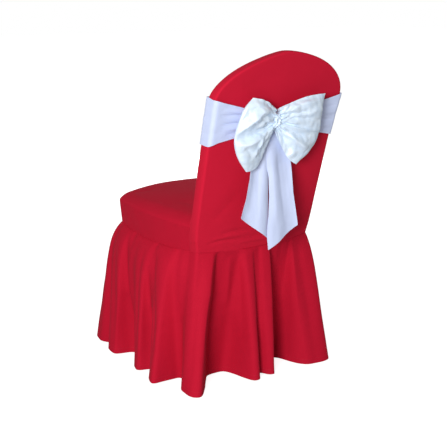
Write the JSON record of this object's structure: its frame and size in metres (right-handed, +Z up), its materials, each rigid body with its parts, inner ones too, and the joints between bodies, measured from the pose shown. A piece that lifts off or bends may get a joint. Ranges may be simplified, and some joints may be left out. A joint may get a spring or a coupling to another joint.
{
  "type": "banquet chair cover with tied sash",
  "caption": "Fitted fabric cover for an upright banquet chair, with an arched back, a domed seat, a floor-length fluted skirt and a wide satin sash tied in a bow behind.",
  "frame": {"origin": "on the floor, below the middle of the cover's box", "axes": "+Z up, the sitter would face -Y, and the sitter's left is +X"},
  "size_m": [0.5841, 0.6866, 0.9327],
  "materials": {
    "cover_polyester": "matt crimson woven polyester",
    "sash_satin": "soft white satin with a cool tint"
  },
  "bodies": {
    "root": {"back_rear_panel": "cover_polyester", "back_front_panel": "cover_polyester", "back_side_strip": "cover_polyester", "seat_panel": "cover_polyester", "seat_band": "cover_polyester", "skirt": "cover_polyester", "sash_band": "sash_satin", "bow_loop_left": "sash_satin", "bow_loop_right": "sash_satin", "bow_knot": "sash_satin", "bow_tail_left": "sash_satin", "bow_tail_right": "sash_satin"}
  },
  "joints": []
}
